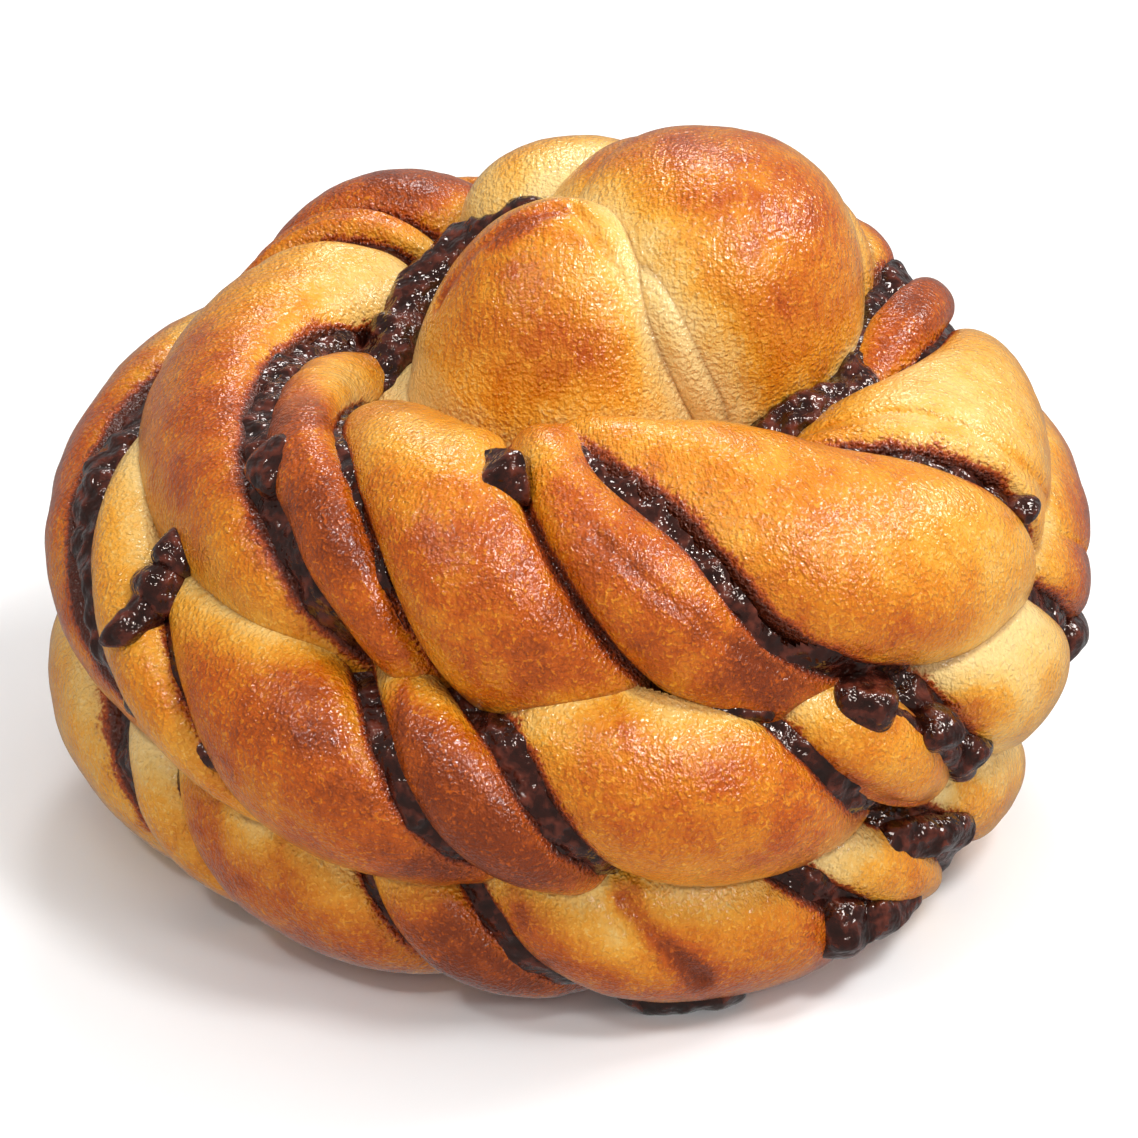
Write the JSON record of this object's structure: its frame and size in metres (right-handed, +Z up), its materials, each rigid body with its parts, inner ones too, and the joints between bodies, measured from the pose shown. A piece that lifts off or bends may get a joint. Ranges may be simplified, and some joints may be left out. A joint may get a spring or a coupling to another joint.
{
  "type": "chocolate bun",
  "caption": "Round twisted bun of golden baked dough wound up in turns and knotted on top, with chocolate filling showing in its folds.",
  "frame": {"origin": "middle of the bun's box at its flat underside", "axes": "+Z up through the crown, -Y towards the side that the picture shows, +X to the right in the picture"},
  "size_m": [0.1104, 0.1038, 0.0735],
  "materials": {
    "crust": "egg-washed golden baked crust, softly glossy, paler in the folds and darker beside the chocolate",
    "chocolate": "dark, glossy, lumpy chocolate filling"
  },
  "bodies": {
    "root": {"dough": "crust", "filling": "chocolate"}
  },
  "joints": []
}
